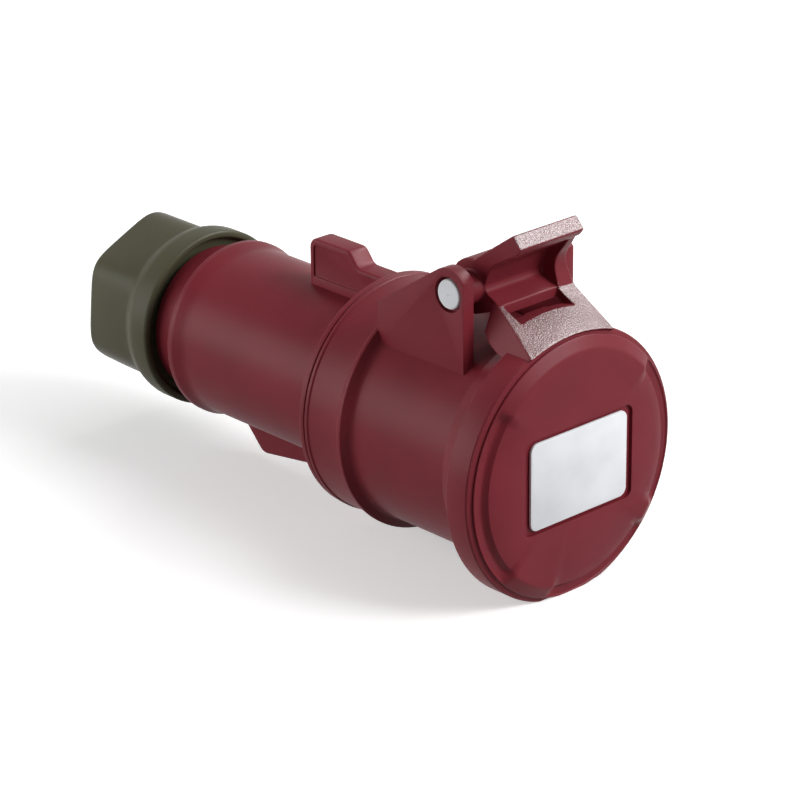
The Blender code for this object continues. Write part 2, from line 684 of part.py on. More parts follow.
def contact_carrier(material):
    """The insulating insert: it passes through the ledge, and its flange is clamped behind it."""
    outline = rounded([
        (INSERT_FACE_X, 0),
        (INSERT_FACE_X, INSERT_RADIUS, 1.0 * MM),
        (FLANGE_FRONT_X, INSERT_RADIUS),
        (FLANGE_FRONT_X, FLANGE_RADIUS),
        (FLANGE_REAR_X, FLANGE_RADIUS),
        (FLANGE_REAR_X, INSERT_TAIL_RADIUS),
        (INSERT_REAR_X, INSERT_TAIL_RADIUS),
        (INSERT_REAR_X, 0),
    ])
    carrier = make_object("contact_carrier", revolve(outline), material)
    for name, degrees, pin_radius in contact_places():
        bore = pin_radius + PIN_FIT
        chamber = bore + CONTACT_WALL + SEAT_GAP
        entry = bore + FIT_GAP
        passage = [
            (INSERT_FACE_X + REACH, 0),
            (INSERT_FACE_X + REACH, entry),
            (INSERT_FACE_X - INSERT_WEB, entry),
            (INSERT_FACE_X - INSERT_WEB, chamber),
            (INSERT_REAR_X - REACH, chamber),
            (INSERT_REAR_X - REACH, 0),
        ]
        cut(carrier, f"passage_{name}", shifted(revolve(passage, PASSAGE_STEPS), on_circle(degrees)))
    return carrier


def contact(name, degrees, pin_radius, material):
    """A turned sleeve: thin at the tip for its spring, with a screw terminal behind the carrier."""
    bore = pin_radius + PIN_FIT
    tip = bore + CONTACT_TIP_WALL
    sleeve = bore + CONTACT_WALL
    terminal = WIRE_HOLE_RADIUS + TERMINAL_WALL
    step_x = CONTACT_X - SPRING_LENGTH - 2 * SEAT_GAP
    terminal_x = INSERT_REAR_X - SEAT_GAP
    end_x = terminal_x - TERMINAL_LENGTH
    outline = [
        (CONTACT_X - CONTACT_BORE_DEPTH, 0),
        (CONTACT_X - CONTACT_BORE_DEPTH, bore),
        (CONTACT_X, bore),
        (CONTACT_X, tip),
        (step_x, tip),
        (step_x, sleeve),
        (terminal_x, sleeve),
        (terminal_x, terminal),
        (end_x, terminal),
        (end_x, WIRE_HOLE_RADIUS),
        (terminal_x - TERMINAL_FLOOR, WIRE_HOLE_RADIUS),
        (terminal_x - TERMINAL_FLOOR, 0),
    ]
    piece = make_object(f"contact_{name}", shifted(revolve(outline, SMALL_STEPS), on_circle(degrees)), material)
    outward = on_circle(degrees).normalized()
    screw_x = Vector((terminal_x - TERMINAL_LENGTH / 2, 0, 0))
    hole_start = on_circle(degrees) + screw_x
    hole_end = hole_start + outward * 2 * terminal
    hole = cylinder(hole_start, hole_end, TERMINAL_SCREW_RADIUS + SEAT_GAP, TERMINAL_SCREW_STEPS)
    cut(piece, f"screw_hole_{name}", hole)
    return piece


def contact_spring(name, degrees, pin_radius, material):
    """The split ring that presses the tip of a sleeve on the pin."""
    low = pin_radius + PIN_FIT + CONTACT_TIP_WALL + SEAT_GAP
    front = CONTACT_X - SEAT_GAP
    outline = [
        (front, low),
        (front, low + SPRING_WALL),
        (front - SPRING_LENGTH, low + SPRING_WALL),
        (front - SPRING_LENGTH, low),
    ]
    ring = revolve(outline, SMALL_STEPS, degrees + SPRING_GAP_DEG / 2, 360.0 - SPRING_GAP_DEG)
    return make_object(f"contact_spring_{name}", shifted(ring, on_circle(degrees)), material)


def terminal_screw(name, degrees, material):
    """A slotted grub screw, seen from outside the contact circle."""
    terminal_x = INSERT_REAR_X - SEAT_GAP
    outward = on_circle(degrees).normalized()
    centre = on_circle(degrees) + Vector((terminal_x - TERMINAL_LENGTH / 2, 0, 0))
    start = centre + outward * WIRE_HOLE_RADIUS
    end = centre + outward * (WIRE_HOLE_RADIUS + TERMINAL_WALL + TERMINAL_SCREW_PROUD)
    shape = cylinder(start, end, TERMINAL_SCREW_RADIUS, TERMINAL_SCREW_STEPS)
    screw = make_object(f"terminal_screw_{name}", shape, material)
    slot_half = TERMINAL_SCREW_RADIUS / 5
    across = outward.cross(Vector((1, 0, 0)))
    slot = cylinder(end - across * REACH / 10, end + across * REACH / 10, slot_half, 4)
    cut(screw, f"slot_{name}", slot)
    return screw


def tapered(outline, foot, head, inset=0.0):
    """A prism that narrows from the arm's foot to its head, as (x, z) points of the ramp."""
    shape = prism(outline, -ARM_FOOT_HALF, ARM_FOOT_HALF)
    for vert in shape.verts:
        share = (vert.co.z - foot[1]) / (head[1] - foot[1])
        half = ARM_FOOT_HALF + (ARM_TOP_HALF - ARM_FOOT_HALF) * share - inset
        vert.co.y = math.copysign(half, vert.co.y)
    return shape


def swapped(shape):
    """Turns a shape drawn along Y into one along X, and one turned about X into one about Y."""
    for vert in shape.verts:
        vert.co = (vert.co.y, vert.co.x, vert.co.z)
    return shape


def plate(width, height, corner, low_x, high_x):
    """A rounded rectangle facing +X, level with the label."""
    middle = -LABEL_DROP
    outline = rounded([
        (-width / 2, middle - height / 2, corner),
        (width / 2, middle - height / 2, corner),
        (width / 2, middle + height / 2, corner),
        (-width / 2, middle + height / 2, corner),
    ], 4)
    return swapped(prism(outline, low_x, high_x))


def arm_ends():
    """The ramp's foot on the lid's face and its head below the finger tab, as (x, z)."""
    foot = (LID_CROWN - RAMP_FOOT_BACK, LID_RADIUS - LID_DROP - RAMP_FOOT_DROP)
    head = (HINGE_X + RAMP_HEAD_AHEAD, HINGE_Z - RAMP_HEAD_DROP)
    return foot, head


def from_pin(radius, angle):
    return Vector((HINGE_X + radius * math.cos(angle), HINGE_Z + radius * math.sin(angle)))


def lid_arm():
    """The sloping ramp with its two webs and window, then the neck with the finger tab and the knuckle."""
    foot, head = arm_ends()
    skirt_top = LID_RADIUS - LID_DROP
    web_rear = head[0] - WEB_SET_BACK
    web_low = skirt_top - WEB_DEPTH
    web = [
        (foot[0] + ROOT_OVERLAP / 2, web_low - ROOT_OVERLAP / 2),
        foot,
        head,
        (web_rear, head[1]),
        (web_rear, skirt_top - WEB_DEPTH / 5),
        (web_rear + 0.6 * WEB_DEPTH, skirt_top - 0.7 * WEB_DEPTH),
        (-LID_SKIRT - 0.6 * WEB_DEPTH, web_low),
        (-LID_SKIRT + ROOT_OVERLAP / 2, web_low - ROOT_OVERLAP / 2),
    ]
    arm = make_object("lid_arm", tapered(web, foot, head))

    # The hollow under the ramp leaves the arm's wall thickness all round.
    slope = (head[1] - foot[1]) / (head[0] - foot[0])
    drop = ARM_WALL * math.hypot(1, slope)
    front_x = -LID_SKIRT - SEAT_GAP
    rear_x = web_rear - ROOT_OVERLAP
    under = [
        (front_x, 0),
        (front_x, foot[1] + slope * (front_x - foot[0]) - drop),
        (head[0], head[1] - drop),
        (rear_x, head[1] - drop),
        (rear_x, 0),
    ]
    cut(arm, "arm_hollow", tapered(under, foot, head, ARM_WALL))

    neck = rounded([
        (web_rear + ROOT_OVERLAP / 2, head[1] - drop / 2),
        (web_rear + ROOT_OVERLAP / 2, head[1] + SEAT_GAP),
        *[(HINGE_X + ahead, HINGE_Z + above, fillet) for ahead, above, fillet in NECK_POINTS],
        tuple(from_pin(KNUCKLE_RADIUS, KNUCKLE_START)),
    ], 3)
    neck += [from_pin(KNUCKLE_RADIUS, KNUCKLE_START + KNUCKLE_SWEEP * i / 11) for i in range(1, 12)]
    join(arm, "neck", prism(neck, -ARM_TOP_HALF, ARM_TOP_HALF, NECK_EDGE))

    window_low = (head[0] + WINDOW_MARGIN, -WINDOW_HALF, skirt_top + WINDOW_SILL)
    window_high = (-LID_SKIRT + WINDOW_MARGIN, WINDOW_HALF, head[1] + ROOT_OVERLAP)
    cut(arm, "window", box(window_low, window_high))
    hole = cylinder((HINGE_X, -REACH, HINGE_Z), (HINGE_X, REACH, HINGE_Z), PIN_HOLE_RADIUS)
    cut(arm, "knuckle_hole", hole)

    # The arm ends inside the cap's wall, so that nothing of it shows in the cap.
    middle_radius = LID_RADIUS - LID_WALL / 2
    behind_x = -LID_SKIRT - SEAT_GAP
    front_x = LID_INNER_X + LID_PLATE / 4
    inside = [(behind_x, 0), (behind_x, middle_radius), (front_x, middle_radius), (front_x, 0)]
    cut(arm, "cap_space", shifted(revolve(inside), (0, 0, -LID_DROP)))
    return arm


def lid(material):
    """One moulding: the cap with its skirt and raised face, and the arm."""
    down = Vector((0, 0, -LID_DROP))
    inner = LID_RADIUS - LID_WALL
    seam_radius = LID_RADIUS - LID_SEAM_DEPTH
    outline = rounded([
        (LID_INNER_X, 0),
        (LID_INNER_X, inner, 0.5 * MM),
        (-LID_SKIRT, inner),
        (-LID_SKIRT, LID_RADIUS, 0.5 * MM),
        (-LID_SEAM_WIDTH, LID_RADIUS),
        (-LID_SEAM_WIDTH, seam_radius),
        (0, seam_radius),
        (0, LID_RADIUS, 0.3 * MM),
        (LID_CROWN / 2, LID_RADIUS - LID_RIM_WIDTH, 0.8 * MM),
        (LID_CROWN, LID_RADIUS - LID_RIM_WIDTH - LID_CROWN_EDGE, 1.2 * MM),
        (LID_CROWN, 0),
    ])
    cap = make_object("lid", shifted(revolve(outline), down), material)
    combine(cap, lid_arm(), "UNION")
    cut(cap, "stand_flat", box((-REACH, -REACH, -REACH), (REACH, REACH, -STAND_HEIGHT)))

    floor_x = LID_CROWN - CHANNEL_DEPTH
    above_x = LID_CROWN + ROOT_OVERLAP / 2
    outer = CROWN_RADIUS + CHANNEL_WIDTH
    channel = [
        (floor_x, CROWN_RADIUS + CHANNEL_DRAFT),
        (floor_x, outer - CHANNEL_DRAFT),
        (above_x, outer + CHANNEL_DRAFT / 2),
        (above_x, CROWN_RADIUS - CHANNEL_DRAFT / 2),
    ]
    for index, (start, end) in enumerate(CHANNELS):
        steps = round((end - start) / 360 * ROUND_STEPS)
        cut(cap, f"channel_{index}", shifted(revolve(channel, steps, start, end - start), down))

    recess_x = FRONT_X - LABEL_THICKNESS - SEAT_GAP
    width = LABEL_WIDTH + 2 * LABEL_MARGIN_SIDE
    height = LABEL_HEIGHT + 2 * LABEL_MARGIN_TOP
    cut(cap, "label_recess", plate(width, height, LABEL_CORNER, recess_x, LID_CROWN + REACH))
    return cap


def label_plate(material):
    """A blank plate in its recess."""
    shape = plate(LABEL_WIDTH, LABEL_HEIGHT, LABEL_CORNER, FRONT_X - LABEL_THICKNESS, FRONT_X)
    return make_object("label_plate", shape, material)


def lid_gasket(material):
    """The ring under the lid that seals on the housing's rim."""
    front_x = LID_INNER_X - SEAT_GAP
    outline = rounded([
        (front_x, BORE_RADIUS + 0.4 * MM),
        (front_x, RIM_RADIUS - 0.2 * MM),
        (front_x - GASKET_THICKNESS, RIM_RADIUS - 0.2 * MM, 0.5 * MM),
        (front_x - GASKET_THICKNESS, BORE_RADIUS + 0.4 * MM, 0.5 * MM),
    ])
    return make_object("lid_gasket", revolve(outline), material)


def hinge_pin(material):
    """Its head is let into the ear on the -Y side."""
    head_y = -EAR_OUTER_Y
    outline = rounded([
        (head_y, 0),
        (head_y, PIN_HEAD_RADIUS, 0.3 * MM),
        (head_y + PIN_HEAD_THICKNESS, PIN_HEAD_RADIUS),
        (head_y + PIN_HEAD_THICKNESS, PIN_RADIUS),
        (EAR_OUTER_Y - SEAT_GAP, PIN_RADIUS),
        (EAR_OUTER_Y - SEAT_GAP, 0),
    ])
    shape = shifted(swapped(revolve(outline, PIN_STEPS)), (HINGE_X, 0, HINGE_Z))
    return make_object("hinge_pin", shape, material)


def lid_spring(material):
    """A torsion spring round the pin, between the knuckle and the far ear, with a leg each way."""
    coil = PIN_RADIUS + SEAT_GAP + SPRING_WIRE_RADIUS
    start_y = ARM_TOP_HALF + SEAT_GAP + SPRING_WIRE_RADIUS
    steps = SPRING_STEPS
    reach = RAMP_HEAD_AHEAD - WEB_SET_BACK - SEAT_GAP
    path = [Vector((reach, start_y, -coil)), Vector((reach / 2, start_y, -coil))]
    for i in range(round(SPRING_TURNS * steps) + 1):
        angle = math.tau * i / steps
        y = start_y + SPRING_PITCH * i / steps
        path.append(Vector((-coil * math.sin(angle), y, -coil * math.cos(angle))))
    end_y = path[-1].y
    path += [Vector((-SPRING_LEG / 2, end_y, -coil)), Vector((-SPRING_LEG, end_y, -coil))]

    shape = bmesh.new()
    rings = []
    sides = SPRING_SIDES
    for i, point in enumerate(path):
        run = (path[min(i + 1, len(path) - 1)] - path[max(i - 1, 0)]).normalized()
        out = run.cross(Vector((0, 1, 0))).normalized()
        up = out.cross(run)
        ring = []
        for k in range(sides):
            angle = math.tau * k / sides
            offset = (out * math.cos(angle) + up * math.sin(angle)) * SPRING_WIRE_RADIUS
            ring.append(shape.verts.new(point + offset))
        rings.append(ring)
    for near, far in zip(rings, rings[1:]):
        for k in range(sides):
            shape.faces.new((near[k], near[(k + 1) % sides], far[(k + 1) % sides], far[k]))
    shape.faces.new(rings[0])
    shape.faces.new(rings[-1])
    return make_object("lid_spring", shifted(shape, (HINGE_X, 0, HINGE_Z)), material)


def main():
    clear_scene()
    red = make_material("red_plastic", (0.175, 0.022, 0.030), 0.42)
    dark = make_material("dark_plastic", (0.075, 0.075, 0.055), 0.38)
    white = make_material("white_plastic", (0.80, 0.80, 0.82), 0.45)
    grey = make_material("insert_plastic", (0.16, 0.16, 0.16), 0.5)
    rubber = make_material("black_rubber", (0.02, 0.02, 0.02), 0.8)
    brass = make_material("brass", (0.72, 0.50, 0.20), 0.3, 1.0)
    steel = make_material("steel", (0.60, 0.60, 0.60), 0.35, 1.0)

    axis = make_empty("connector_axis", (LENGTH / 2 - FRONT_X, 0, STAND_HEIGHT))
    hinge = make_empty("lid_hinge", (HINGE_X, 0, HINGE_Z), axis)
    fixed = [
        front_housing(red),
        rear_housing(red),
        housing_seal(rubber),
        gland_nut(dark),
        cable_clamp(grey),
        cable_seal(rubber),
        contact_carrier(grey),
        hinge_pin(white),
        lid_spring(steel),
    ]
    for name, degrees, pin_radius in contact_places():
        fixed.append(contact(name, degrees, pin_radius, brass))
        fixed.append(contact_spring(name, degrees, pin_radius, steel))
        fixed.append(terminal_screw(name, degrees, steel))
    for piece in fixed:
        place(piece, axis)
    for piece in (lid(red), lid_gasket(rubber), label_plate(white)):
        place(piece, hinge)


main()
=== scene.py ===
"""Looks of the industrial power connector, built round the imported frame.

Each piece that shows is modelled again with fine surfaces, in the sizes of the frame. Shapes are drawn
from the connector's axis, with x = 0 at the plane of the lid's rim, and shifted into the frame.
"""

import json
import math

import bmesh
import bpy
from mathutils import Matrix, Vector


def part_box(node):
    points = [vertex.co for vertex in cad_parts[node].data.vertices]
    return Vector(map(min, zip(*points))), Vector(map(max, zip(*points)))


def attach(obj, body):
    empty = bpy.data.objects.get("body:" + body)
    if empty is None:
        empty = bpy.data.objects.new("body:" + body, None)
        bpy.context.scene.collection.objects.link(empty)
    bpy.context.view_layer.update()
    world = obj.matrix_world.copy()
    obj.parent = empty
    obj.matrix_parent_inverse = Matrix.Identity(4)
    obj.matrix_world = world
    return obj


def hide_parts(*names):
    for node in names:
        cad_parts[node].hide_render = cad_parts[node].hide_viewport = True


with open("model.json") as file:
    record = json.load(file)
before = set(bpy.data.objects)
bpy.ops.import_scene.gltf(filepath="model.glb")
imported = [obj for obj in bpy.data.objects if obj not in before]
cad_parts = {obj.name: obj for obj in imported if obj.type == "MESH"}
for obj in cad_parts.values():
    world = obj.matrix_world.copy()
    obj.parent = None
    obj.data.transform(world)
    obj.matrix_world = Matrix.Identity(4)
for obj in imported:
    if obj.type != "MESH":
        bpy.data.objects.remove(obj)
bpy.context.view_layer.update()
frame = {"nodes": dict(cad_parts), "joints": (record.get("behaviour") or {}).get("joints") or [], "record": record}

MM = 0.001

# Places read from the frame
FRONT_X = 3.7 * MM  # face of the label plate
label_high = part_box("label_plate")[1]
carrier_low, carrier_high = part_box("contact_carrier")
SHIFT = Vector((label_high.x - FRONT_X, 0, (carrier_low.z + carrier_high.z) / 2))
HINGE = Vector(frame["joints"][0]["pos_m"]) - SHIFT
PIN_AXIS = (HINGE.x, HINGE.z)
STAND_HEIGHT = SHIFT.z
REACH = 400 * MM  # longer than the object, for a cut that goes all through

# Finish of a mould
EDGE = 0.5 * MM
ROUND_STEPS = 192
FILLET_STEPS = 5
SHARP_ANGLE = math.radians(38)

# Lid
LID_RADIUS = 41.3 * MM
LID_WALL = 3.0 * MM
LID_DROP = 1.3 * MM
LID_CROWN = 3.6 * MM
LID_PLATE = 4.1 * MM
LID_SKIRT = 8.5 * MM
SEAM_WIDTH = 0.5 * MM
SEAM_DEPTH = 0.25 * MM
CHANNEL_LOW = 34.0 * MM
CHANNEL_HIGH = 39.2 * MM
CHANNEL_FLOOR = 0.8 * MM
CHANNELS = ((48, 125), (131, 198), (224, 313))  # degrees from the top

# Label
LABEL_WIDTH = 38.9 * MM
LABEL_HEIGHT = 26.9 * MM
LABEL_CORNER = 2.6 * MM
LABEL_MARGIN = 2.4 * MM

# Arm of the lid, with sides given as (near, far)
SKIRT_TOP = LID_RADIUS - LID_DROP
ARM_FOOT = Vector((LID_CROWN - 2.2 * MM, SKIRT_TOP - 3.3 * MM))
ARM_HEAD = Vector((HINGE.x + 11.0 * MM, HINGE.z - 2.9 * MM))
ARM_SLOPE = (ARM_HEAD.y - ARM_FOOT.y) / (ARM_HEAD.x - ARM_FOOT.x)
ARM_WALL = 2.6 * MM
ARM_DROP = ARM_WALL * math.hypot(1, ARM_SLOPE)
FOOT_SIDES = (-17.2 * MM, 16.2 * MM)
HEAD_SIDES = (-12.9 * MM, 16.4 * MM)
NECK_HALF = 12.6 * MM
NECK_WEB = 2.4 * MM
TAB_ROOT_Z = HINGE.z + 14.0 * MM

# Stations along the axis
LID_INNER_X = LID_CROWN - LID_PLATE
RIM_X = LID_INNER_X - 2.6 * MM
BODY_REAR_X = RIM_X - 70.1 * MM
REAR_X = BODY_REAR_X - 0.3 * MM
SPIGOT_STEP_X = REAR_X + 15.3 * MM
LEDGE_X = RIM_X - 38 * MM
BARREL_X = REAR_X - 12.5 * MM
BEAD_REAR_X = BARREL_X - 61.2 * MM
NECK_REAR_X = BEAD_REAR_X - 11 * MM
THREAD_REAR_X = NECK_REAR_X - 16.3 * MM
NUT_MOUTH_X = BEAD_REAR_X - 10.2 * MM
NUT_REAR_X = NUT_MOUTH_X - 32.9 * MM

# Radii
BORE_RADIUS = 32.6 * MM
BODY_RADIUS = 34.7 * MM
RIM_RADIUS = 36.3 * MM
COLLAR_RADIUS = 36.7 * MM
BARREL_RADIUS = 26.8 * MM
BEAD_RADIUS = 28.1 * MM
NECK_RADIUS = 23.6 * MM
NUT_FLATS = 49.9 * MM
NUT_TURN = math.radians(5)
NUT_MOUTH_RADIUS = 28.4 * MM
PIN_BORE = 2.8 * MM
PIN_RADIUS = 2.5 * MM
PIN_HEAD = 4.4 * MM

# Hinge ears, from the middle plane
EAR_INNER = 18.0 * MM
EAR_OUTER = 22.1 * MM

# Camera, fitted to the photo's view
CAMERA_AZIMUTH = math.radians(47.22)
CAMERA_ELEVATION = math.radians(22.77)
CAMERA_ROLL = math.radians(-0.59)
CAMERA_DISTANCE = 1051.3 * MM
CAMERA_TARGET = Vector((-71.44 * MM, 0, -2.40 * MM))
CAMERA_LENS = 157.6


def tree_of(material):
    material.use_nodes = True
    return material.node_tree


def node(tree, kind, **values):
    made = tree.nodes.new(kind)
    for name, value in values.items():
        if name in made.inputs:
            made.inputs[name].default_value = value
        else:
            setattr(made, name, value)
    return made


def remap(tree, source, start, end):
    """Maps a value that runs from start[0] to start[1] to end[0] to end[1]."""
    ranges = {"From Min": start[0], "From Max": start[1], "To Min": end[0], "To Max": end[1]}
    made = node(tree, "ShaderNodeMapRange", **ranges)
    tree.links.new(source, made.inputs["Value"])
    return made.outputs["Result"]


def moulded(name, colour, roughness, relief, grain=0.25 * MM, sparkle=0.0, metallic=0.0, sheen=0.1):
    """A moulded or turned surface: slow changes of tone, and a fine grain in gloss and relief."""
    material = bpy.data.materials.new(name)
    tree = tree_of(material)
    shader = tree.nodes["Principled BSDF"]
    shader.inputs["Metallic"].default_value = metallic
    shader.inputs["Specular IOR Level"].default_value = sheen
    place = node(tree, "ShaderNodeTexCoord")
    slow = node(tree, "ShaderNodeTexNoise", Scale=45.0, Detail=3.0)
    fine = node(tree, "ShaderNodeTexNoise", Scale=1 / grain, Detail=2.0)
    tree.links.new(place.outputs["Object"], slow.inputs["Vector"])
    tree.links.new(place.outputs["Object"], fine.inputs["Vector"])
    tone = remap(tree, slow.outputs["Fac"], (0.3, 0.7), (0.90, 1.10))
    paint = node(tree, "ShaderNodeMix", data_type="RGBA", blend_type="MULTIPLY")
    paint.inputs["Factor"].default_value = 1.0
    paint.inputs["A"].default_value = (*colour, 1.0)
    tree.links.new(tone, paint.inputs["B"])
    tree.links.new(paint.outputs["Result"], shader.inputs["Base Color"])
    spread = 0.05 + sparkle
    gloss = remap(tree, fine.outputs["Fac"], (0.35, 0.65), (roughness - spread, roughness + spread))
    tree.links.new(gloss, shader.inputs["Roughness"])
    bump = node(tree, "ShaderNodeBump", Strength=1.0, Distance=relief)
    tree.links.new(fine.outputs["Fac"], bump.inputs["Height"])
    tree.links.new(bump.outputs["Normal"], shader.inputs["Normal"])
    return material


RED = moulded("red_moulding", (0.180, 0.020, 0.029), 0.40, 0.008 * MM)
# The coarse grain and strong gloss of the slope and the tab's end are real. Its base red is darker than the
# moulding's, and that darkening is painted so the shine lamp's highlight there reads grey-white.
GRAIN_AND_HIGHLIGHT_RED = moulded(
    "red_grain_and_highlight_tone", (0.105, 0.017, 0.021), 0.38, 0.22 * MM, grain=0.34 * MM, sparkle=0.20, sheen=1.0)
DARK = moulded("dark_moulding", (0.075, 0.071, 0.042), 0.40, 0.006 * MM)
WHITE = moulded("white_moulding", (0.80, 0.81, 0.84), 0.45, 0.004 * MM)
GREY = moulded("insert_moulding", (0.15, 0.15, 0.15), 0.5, 0.01 * MM)
RUBBER = moulded("rubber", (0.02, 0.02, 0.02), 0.7, 0.02 * MM)
BRASS = moulded("brass", (0.72, 0.50, 0.20), 0.28, 0.004 * MM, metallic=1.0, sheen=0.5)
STEEL = moulded("steel", (0.60, 0.60, 0.61), 0.32, 0.004 * MM, metallic=1.0, sheen=0.5)


def make_object(name, shape, *materials):
    """An object made from a bmesh, which is freed. It stays where it is drawn until it is finished."""
    bmesh.ops.remove_doubles(shape, verts=shape.verts, dist=0.001 * MM)
    bmesh.ops.recalc_face_normals(shape, faces=shape.faces)
    mesh = bpy.data.meshes.new(name)
    shape.to_mesh(mesh)
    shape.free()
    for material in materials:
        mesh.materials.append(material)
    made = bpy.data.objects.new(name, mesh)
    bpy.context.scene.collection.objects.link(made)
    return made


def settle(made):
    """Applies the modifiers of an object."""
    graph = bpy.context.evaluated_depsgraph_get()
    mesh = bpy.data.meshes.new_from_object(made.evaluated_get(graph))
    made.modifiers.clear()
    made.data = mesh
    return made


def combine(piece, tool, operation):
    """Adds another object to a piece, or cuts it away, and removes that object."""
    modifier = piece.modifiers.new(tool.name, "BOOLEAN")
    modifier.operation = operation
    modifier.object = tool
    settle(piece)
    bpy.data.objects.remove(tool)


def cut(piece, shape):
    combine(piece, make_object("cutter", shape), "DIFFERENCE")


def join(piece, shape):
    combine(piece, make_object("joined", shape), "UNION")


def soften(piece, width=EDGE, segments=3, angle=math.radians(35)):
    bevel = piece.modifiers.new("soften", "BEVEL")
    bevel.width = width
    bevel.segments = segments
    bevel.limit_method = "ANGLE"
    bevel.angle_limit = angle
    settle(piece)


def finished(piece, slot, body, *nodes):
    """Shades a piece, moves it into the frame and sets it on its body in place of its node."""
    piece.data.transform(Matrix.Translation(SHIFT))
    piece.data.shade_smooth()
    piece.data.set_sharp_from_angle(angle=SHARP_ANGLE)
    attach(piece, body)
    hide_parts(*nodes)
    return piece


def rounded(corners, steps=FILLET_STEPS):
    """Points of an outline. A corner is (a, b), or (a, b, radius) for a fillet of that radius."""
    points = []
    for index, corner in enumerate(corners):
        at = Vector(corner[:2])
        if len(corner) == 2:
            points.append(at)
            continue
        before = (Vector(corners[index - 1][:2]) - at).normalized()
        after = (Vector(corners[(index + 1) % len(corners)][:2]) - at).normalized()
        half = before.angle(after) / 2
        reach = corner[2] / math.tan(half)
        centre = at + (before + after).normalized() * corner[2] / math.sin(half)
        first = at + before * reach - centre
        turn = first.angle_signed(at + after * reach - centre)
        points += [centre + Matrix.Rotation(-turn * i / steps, 2) @ first for i in range(steps + 1)]
    return points


def revolve(outline, steps=ROUND_STEPS):
    """Turns a closed outline of (x, radius) about the X axis."""
    return loft([(x, lambda angle, r=r: r) for x, r in outline], steps)


def loft(sections, steps=ROUND_STEPS):
    """Joins rings into one closed skin, the last back to the first. A section is (x, radius by angle)."""
    shape = bmesh.new()
    rings = []
    for x, radius_at in sections:
        ring = []
        for i in range(steps):
            angle = math.tau * i / steps
            r = radius_at(angle)
            ring.append(shape.verts.new((x, r * math.sin(angle), r * math.cos(angle))))
        rings.append(ring)
    for near, far in zip(rings, rings[1:] + rings[:1]):
        for i in range(steps):
            j = (i + 1) % steps
            shape.faces.new((near[i], near[j], far[j], far[i]))
    return shape


def prism(outline, low, high):
    """Draws an outline of (x, z) from y = low to y = high."""
    shape = bmesh.new()
    face = shape.faces.new([shape.verts.new((x, low, z)) for x, z in outline])
    pulled = bmesh.ops.extrude_face_region(shape, geom=[face])["geom"]
    moved = [item for item in pulled if isinstance(item, bmesh.types.BMVert)]
    bmesh.ops.translate(shape, verts=moved, vec=(0, high - low, 0))
    bmesh.ops.recalc_face_normals(shape, faces=shape.faces)
    return shape


def swapped(shape):
    """Turns a shape drawn along Y into one along X, and one turned about X into one about Y."""
    for vert in shape.verts:
        vert.co = (vert.co.y, vert.co.x, vert.co.z)
    return shape


def shifted(shape, move):
    bmesh.ops.translate(shape, verts=shape.verts, vec=move)
    return shape


def box(low, high):
    (x0, y0, z0), (x1, y1, z1) = low, high
    return prism([(x0, z0), (x1, z0), (x1, z1), (x0, z1)], y0, y1)


def arc(centre, radius, first, last, steps):
    """Points round a centre, from the first angle to the last."""
    points = []
    for i in range(steps + 1):
        angle = first + (last - first) * i / steps
        points.append(Vector((centre[0] + radius * math.cos(angle), centre[1] + radius * math.sin(angle))))
    return points


def disc_prism(centre, radius, low, high, steps=64):
    """A cylinder along Y about a centre given as (x, z)."""
    return prism(arc(centre, radius, 0, math.tau, steps)[:-1], low, high)


def make_front_housing():
    """The tube with its rim, collar, bead and ledge, the keyway in its bore, and two hinge ears."""
    spigot_bore = COLLAR_RADIUS - 3.3 * MM
    ledge_bore = 28.0 * MM
    ridge = COLLAR_RADIUS + 1.1 * MM
    bead = COLLAR_RADIUS + 0.4 * MM
    collar_x = BODY_REAR_X + 16.6 * MM
    flare_x = RIM_X - 8 * MM
    outline = rounded([
        (RIM_X, BORE_RADIUS + 0.6 * MM, 0.3 * MM),
        (RIM_X, RIM_RADIUS, 0.5 * MM),
        (flare_x, RIM_RADIUS, 3 * MM),
        (flare_x - 5.5 * MM, BODY_RADIUS, 3 * MM),
        (collar_x + 1.6 * MM, BODY_RADIUS, 2.0 * MM),
        (collar_x, ridge, 0.4 * MM),
        (collar_x - 1.2 * MM, ridge, 0.4 * MM),
        (collar_x - 2.4 * MM, COLLAR_RADIUS, 0.8 * MM),
        (BODY_REAR_X + 1.8 * MM, COLLAR_RADIUS, 0.3 * MM),
        (BODY_REAR_X + 1.4 * MM, bead, 0.2 * MM),
        (BODY_REAR_X + 0.4 * MM, bead, 0.2 * MM),
        (BODY_REAR_X, COLLAR_RADIUS, 0.2 * MM),
        (BODY_REAR_X, spigot_bore),
        (SPIGOT_STEP_X, spigot_bore),
        (SPIGOT_STEP_X, 31.6 * MM),
        (LEDGE_X - 4 * MM, 31.6 * MM),
        (LEDGE_X - 4 * MM, ledge_bore),
        (LEDGE_X, ledge_bore, 0.3 * MM),
        (LEDGE_X, BORE_RADIUS, 0.5 * MM),
        (RIM_X - 0.6 * MM, BORE_RADIUS, 0.3 * MM),
    ])
    housing = make_object("front_housing_skin", revolve(outline), RED)
    for side in (-1, 1):
        combine(housing, make_ear(side), "UNION")
    keyway_half = 3.5 * MM
    keyway_low = (LEDGE_X, -keyway_half, -BORE_RADIUS - 1 * MM)
    cut(housing, box(keyway_low, (RIM_X + 1 * MM, keyway_half, -ledge_bore)))
    return finished(housing, "red_plastic", "housing", "front_housing")


